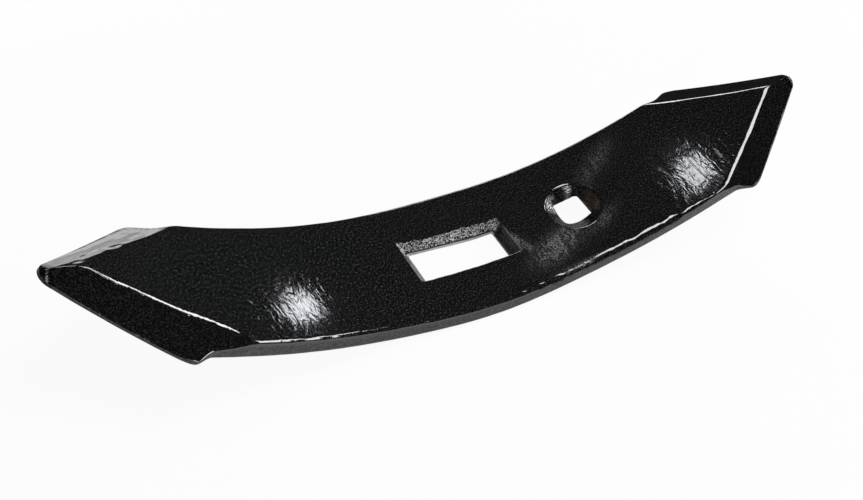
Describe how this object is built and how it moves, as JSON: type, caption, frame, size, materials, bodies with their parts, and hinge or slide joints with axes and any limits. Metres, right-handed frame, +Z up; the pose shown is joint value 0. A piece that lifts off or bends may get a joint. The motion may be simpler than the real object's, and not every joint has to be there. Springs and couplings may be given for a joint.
{
  "type": "cultivator point",
  "caption": "Reversible curved cultivator point of flat steel, pointed at both ends, with a slot and a countersunk square bolt hole.",
  "frame": {"origin": "the lowest place of the convex back, at the middle of the length and width", "axes": "+X along the bar towards the end with the square hole, +Y across it, +Z up out of the hollow face"},
  "size_m": [0.33, 0.0656, 0.0597],
  "materials": {
    "black_paint": "gloss black paint"
  },
  "bodies": {
    "root": {"cultivator_point": "black_paint"}
  },
  "joints": []
}
